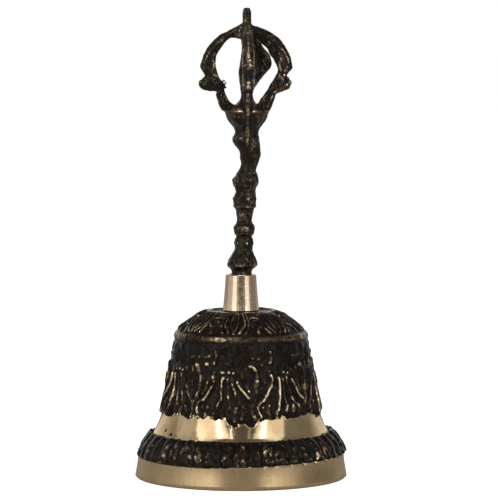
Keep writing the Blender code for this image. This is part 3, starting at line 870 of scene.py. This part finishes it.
class Shader:
    """Small helper for building the nodes of a material or of the world."""

    def __init__(self, owner):
        owner.use_nodes = True
        self.owner = owner
        self.nodes = owner.node_tree.nodes
        self.links = owner.node_tree.links
        self.shader = self.nodes.get("Principled BSDF") or self.nodes["Background"]

    def put(self, socket, value):
        if isinstance(value, bpy.types.NodeSocket):
            self.links.new(value, socket)
        else:
            socket.default_value = value

    def add(self, kind, output, inputs=(), **settings):
        """A new node's output. inputs are (name or number, value) pairs."""
        node = self.nodes.new(kind)
        for key, value in settings.items():
            setattr(node, key, value)
        for key, value in inputs:
            self.put(node.inputs[key], value)
        return node.outputs[output]

    def attribute(self, name):
        return self.add("ShaderNodeAttribute", "Fac", attribute_name=name)

    def position(self):
        return self.add("ShaderNodeTexCoord", "Object")

    def noise(self, vector, scale, detail=4.0, roughness=0.55):
        inputs = [("Vector", vector), ("Scale", scale), ("Detail", detail), ("Roughness", roughness)]
        return self.add("ShaderNodeTexNoise", "Fac", inputs)

    def math(self, operation, a, b=0.0):
        return self.add("ShaderNodeMath", 0, [(0, a), (1, b)], operation=operation)

    def times(self, a, b):
        return self.math("MULTIPLY", a, b)

    def span(self, value, low, high, to_low=0.0, to_high=1.0):
        """The value eased from to_low at low to to_high at high."""
        names = ("Value", "From Min", "From Max", "To Min", "To Max")
        inputs = zip(names, (value, low, high, to_low, to_high))
        return self.add("ShaderNodeMapRange", "Result", inputs, interpolation_type="SMOOTHSTEP")

    def blend(self, factor, a, b, kind="FLOAT"):
        return self.add("ShaderNodeMix", "Result", [("Factor", factor), ("A", a), ("B", b)], data_type=kind)

    def mix(self, factor, *colours):
        a, b = ((*c, 1.0) if isinstance(c, tuple) else c for c in colours)
        return self.blend(factor, a, b, "RGBA")

    def stretch(self, vector, scale):
        return self.add("ShaderNodeMapping", "Vector", [("Vector", vector), ("Scale", scale)])

    def bump(self, height, strength, distance, *normal):
        inputs = [("Strength", strength), ("Distance", distance), ("Height", height)]
        return self.add("ShaderNodeBump", "Normal", inputs + [("Normal", n) for n in normal])

    def finish(self, colour, roughness, metallic, *normal):
        values = [("Base Color", colour), ("Roughness", roughness), ("Metallic", metallic)]
        for name, value in values + [("Normal", n) for n in normal]:
            self.put(self.shader.inputs[name], value)
        return self.owner


def new_material(name):
    return Shader(bpy.data.materials.new(name))


BLACK_PATINA = (0.0035, 0.0029, 0.0024)
WARM_PATINA = (0.015, 0.009, 0.0053)
WORN_BRONZE = (0.15, 0.105, 0.064)
SATIN_BRASS = (0.36, 0.255, 0.140)
RUBBED_BRASS = (0.72, 0.56, 0.35)
BRONZE_RING = (0.070, 0.042, 0.024)
RING_WORN = (0.110, 0.075, 0.045)
POLISHED = (0.80, 0.60, 0.35)
POLISHED_DEEP = (0.64, 0.465, 0.255)
INSIDE_BRASS, INSIDE_DARK = (0.20, 0.145, 0.075), (0.10, 0.070, 0.040)
FERRULE_BRASS, FERRULE_DEEP = (0.82, 0.64, 0.44), (0.70, 0.52, 0.34)
STEEL, STEEL_DARK, TARNISH = (0.52, 0.50, 0.46), (0.34, 0.32, 0.28), (0.22, 0.17, 0.11)
STRIKER_BRASS, STRIKER_DARK = (0.60, 0.45, 0.23), (0.33, 0.23, 0.11)
FLOOR, FLOOR_DEEP = (0.64,) * 3, (0.60,) * 3
WHITE = (1.0,) * 4


def lathe_marks(s, vector):
    """Fine lines that run round the turned bands, as a height."""
    fine = s.noise(s.stretch(vector, (30.0, 30.0, 5200.0)), 1.0, 2.0, 0.5)
    coarse = s.noise(s.stretch(vector, (12.0, 12.0, 1300.0)), 1.0, 2.0, 0.5)
    return s.math("ADD", s.times(fine, 0.5), coarse)


def antiqued_material(name, warmth, gloss):
    """Blackened casting rubbed back to brass on its high spots, with turned bands and a dull inside."""
    s = new_material(name)
    s.shader.inputs["Specular IOR Level"].default_value = gloss
    s.shader.inputs["Specular Tint"].default_value = (1.0, 0.92, 0.84, 1.0)
    vector = s.position()
    turned = s.span(s.attribute("turned"), 0.72, 0.92)

    fine = s.noise(vector, 1300.0, 4.0, 0.6)
    spots = s.noise(vector, 520.0, 4.0, 0.6)
    clouds = s.noise(vector, 170.0, 3.0, 0.5)
    # On the handle, rub also holds a painted highlight: extra brass on the front prong
    level = s.attribute("rub")
    for noise, amount in ((fine, 0.65), (spots, 0.40), (clouds, 0.8)):
        level = s.math("ADD", level, s.times(s.math("SUBTRACT", noise, 0.5), amount))
    bronze = s.span(level, 0.64 - warmth, 0.88 - warmth)
    worn = s.span(level, 0.80 - warmth, 1.00 - warmth)
    patina = s.mix(s.span(spots, 0.35 - warmth, 0.72 - warmth), BLACK_PATINA, WARM_PATINA)
    colour = s.mix(bronze, patina, WORN_BRONZE)
    colour = s.mix(worn, colour, RUBBED_BRASS)
    ring_worn = s.times(s.attribute("ring"), s.span(s.noise(vector, 300.0, 4.0), 0.40, 0.62))
    colour = s.mix(ring_worn, colour, s.mix(s.span(clouds, 0.50, 0.76), BRONZE_RING, RING_WORN))
    metal = s.blend(ring_worn, s.blend(worn, s.blend(bronze, 0.0, 0.8), 1.0), 1.0)
    rough = s.blend(ring_worn, s.span(spots, 0.3, 0.7, 0.09, 0.20), 0.33)

    satin = s.attribute("satin")
    lines = s.noise(s.stretch(vector, (40.0, 40.0, 1500.0)), 1.0, 4.0, 0.65)
    streaks = s.noise(s.stretch(vector, (750.0, 750.0, 60.0)), 1.0, 3.0, 0.6)
    specks = s.span(s.noise(vector, 800.0, 4.0, 0.65), 0.56, 0.72)
    shade = s.blend(s.times(satin, 0.8), clouds, s.blend(0.5, lines, streaks))
    shade = s.math("ADD", shade, s.times(satin, 0.05))
    bright = s.mix(s.span(shade, 0.38, 0.62), POLISHED, POLISHED_DEEP)
    bright = s.mix(s.times(satin, 0.6), bright, SATIN_BRASS)
    bright = s.mix(s.times(s.times(specks, satin), 0.5), bright, WORN_BRONZE)
    colour = s.mix(turned, colour, bright)
    rough = s.blend(turned, rough, s.blend(satin, 0.12, 0.34))
    metal = s.blend(turned, metal, 1.0)

    inside = s.attribute("inside")
    dull = s.mix(s.span(clouds, 0.3, 0.75), INSIDE_BRASS, INSIDE_DARK)
    colour = s.mix(inside, colour, dull)
    rough = s.blend(inside, rough, 0.55)

    grain = s.noise(vector, 1050.0, 5.0, 0.65)
    cast_height = s.times(grain, s.math("SUBTRACT", 1.0, turned))
    line_height = s.times(lathe_marks(s, vector), s.times(turned, s.blend(satin, 0.25, 1.0)))
    normal = s.bump(cast_height, 0.55, 0.00035)
    normal = s.bump(line_height, 0.45, 0.00005, normal)
    return s.finish(colour, rough, metal, normal)


def ferrule_material():
    s = new_material("ferrule_polished_brass")
    vector = s.position()
    tone = s.mix(s.span(s.noise(vector, 120.0, 3.0), 0.35, 0.75), FERRULE_BRASS, FERRULE_DEEP)
    rough = s.span(s.noise(vector, 600.0, 3.0), 0.3, 0.7, 0.13, 0.22)
    return s.finish(tone, rough, 1.0, s.bump(lathe_marks(s, vector), 0.35, 0.00005))


def steel_material():
    s = new_material("zinc_plated_steel")
    vector = s.position()
    tone = s.mix(s.span(s.noise(vector, 500.0, 4.0), 0.35, 0.7), STEEL, STEEL_DARK)
    tarnish = s.span(s.noise(vector, 160.0, 4.0, 0.6), 0.55, 0.75)
    tone = s.mix(tarnish, tone, TARNISH)
    rough = s.span(s.noise(vector, 900.0, 3.0), 0.3, 0.7, 0.28, 0.45)
    return s.finish(tone, rough, 1.0, s.bump(s.noise(vector, 1800.0, 4.0), 0.25, 0.0001))


def striker_material():
    s = new_material("cast_striker_brass")
    vector = s.position()
    tone = s.mix(s.span(s.noise(vector, 320.0, 5.0, 0.6), 0.35, 0.7), STRIKER_BRASS, STRIKER_DARK)
    rough = s.span(s.noise(vector, 700.0, 4.0), 0.3, 0.7, 0.28, 0.5)
    pits = s.noise(vector, 1300.0, 5.0, 0.65)
    return s.finish(tone, rough, 1.0, s.bump(pits, 0.45, 0.0002))


def floor_material():
    s = new_material("pale_floor")
    tone = s.mix(s.noise(s.position(), 6.0, 2.0), FLOOR, FLOOR_DEEP)
    s.put(s.shader.inputs["Emission Color"], WHITE)
    seen = s.add("ShaderNodeLightPath", "Is Camera Ray")
    s.put(s.shader.inputs["Emission Strength"], s.blend(seen, 0.06, 0.90))
    return s.finish(tone, 0.85, 0.0)


# ---- light, floor and camera

CAMERA_DISTANCE = 1.0
CAMERA_HEIGHT = 0.150
CAMERA_SIDE = 0.0032
CAMERA_AIM = 0.0802
LENS = 204.3
WORLD_FRONT = 0.115
WORLD_SIDE = 0.20
WORLD_TILT = -0.08
WORLD_BACK = 0.80
LIGHT_AIM = (0.0, 0.0, 0.06)
# Softboxes: name, azimuth, elevation, distance, width and height, radiance
LIGHTS = [
    ("left_softbox", -45, 27, 1.1, (0.80, 1.05), 1.15),
    ("left_wash", -84, 24, 1.1, (0.75, 1.05), 0.23),
    ("right_softbox", 45, 27, 1.1, (0.75, 1.05), 0.95),
    ("left_glint", -33, 30, 1.0, (0.030, 0.60), 22.0),
    ("right_glint", 34, 30, 1.0, (0.030, 0.60), 27.0),
    ("left_sliver", -15, 42, 1.3, (0.020, 0.5), 6.0),
    ("right_sliver", 12.5, 42, 1.3, (0.010, 0.5), 2.5),
    ("low_fill", -1, 17, 1.1, (0.26, 0.10), 1.8),
    ("top_softbox", 0, 84, 1.1, (0.5, 0.5), 1.2),
]


def aim(obj, place, target):
    """Puts a camera or light at a place in metres, looking at a target."""
    obj.location = place
    look = Vector(target) - Vector(place)
    obj.rotation_euler = look.to_track_quat("-Z", "Y").to_euler()


def add_camera():
    data = bpy.data.cameras.new("camera")
    data.lens = LENS
    data.sensor_width = 36.0
    data.clip_end = 50.0
    camera = placed("camera", data)
    aim(camera, (CAMERA_SIDE, -CAMERA_DISTANCE, CAMERA_HEIGHT), (CAMERA_SIDE, 0.0, CAMERA_AIM))
    bpy.context.scene.camera = camera


def add_world():
    """White behind the object, grey at its sides and dim in front, for the bands to mirror."""
    world = bpy.data.worlds.new("studio")
    bpy.context.scene.world = world
    s = Shader(world)
    s.put(s.shader.inputs["Color"], WHITE)
    direction = s.add("ShaderNodeTexCoord", "Generated")
    across, depth = (s.add("ShaderNodeSeparateXYZ", axis, [(0, direction)]) for axis in "XY")
    backdrop = s.span(depth, 0.35, 0.95, WORLD_FRONT, WORLD_BACK)
    side = s.math("POWER", s.math("ABSOLUTE", across), 3.0)
    lean = s.math("ADD", s.times(across, WORLD_TILT), WORLD_SIDE)
    light = s.math("ADD", s.times(side, lean), backdrop)
    seen = s.add("ShaderNodeLightPath", "Is Camera Ray")
    s.put(s.shader.inputs["Strength"], s.blend(seen, light, 1.0))


def add_softbox(name, azimuth, elevation, distance, size, radiance):
    """A softbox at an azimuth from the front and an elevation, aimed at the bell."""
    data = bpy.data.lights.new(name, "AREA")
    data.shape = "RECTANGLE"
    data.size, data.size_y = size
    data.energy = radiance * math.pi * size[0] * size[1]
    turn, lift = math.radians(azimuth), math.radians(elevation)
    flat = distance * math.cos(lift)
    place = (flat * math.sin(turn), -flat * math.cos(turn), distance * math.sin(lift))
    aim(placed(name, data), place, LIGHT_AIM)


def add_floor():
    bm = bmesh.new()
    bmesh.ops.create_grid(bm, x_segments=1, y_segments=1, size=4.0)
    floor = placed("floor", finished(bm, "floor"))
    floor.data.materials.append(floor_material())


# ---- assembly


def paint(node, material):
    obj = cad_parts[node]
    obj.data.materials.clear()
    obj.data.materials.append(material)


def main():
    bpy.context.scene.view_settings.view_transform = "Standard"
    add_camera()
    add_world()
    for light in LIGHTS:
        add_softbox(*light)
    add_floor()

    bell = make_bell()
    bell.data.materials.append(antiqued_material("antiqued_bell_brass", 0.02, 0.12))
    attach(bell, "bell")
    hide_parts("bell_shell")

    handle = make_handle()
    handle.data.materials.append(antiqued_material("antiqued_handle_brass", 0.05, 0.20))
    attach(handle, "bell")
    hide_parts("handle_casting")

    paint("ferrule", ferrule_material())
    steel = steel_material()
    for node in ("eye_bolt", "crown_washer", "crown_nut", "clapper_link", "clapper_rod"):
        paint(node, steel)
    paint("clapper_ball", striker_material())


main()
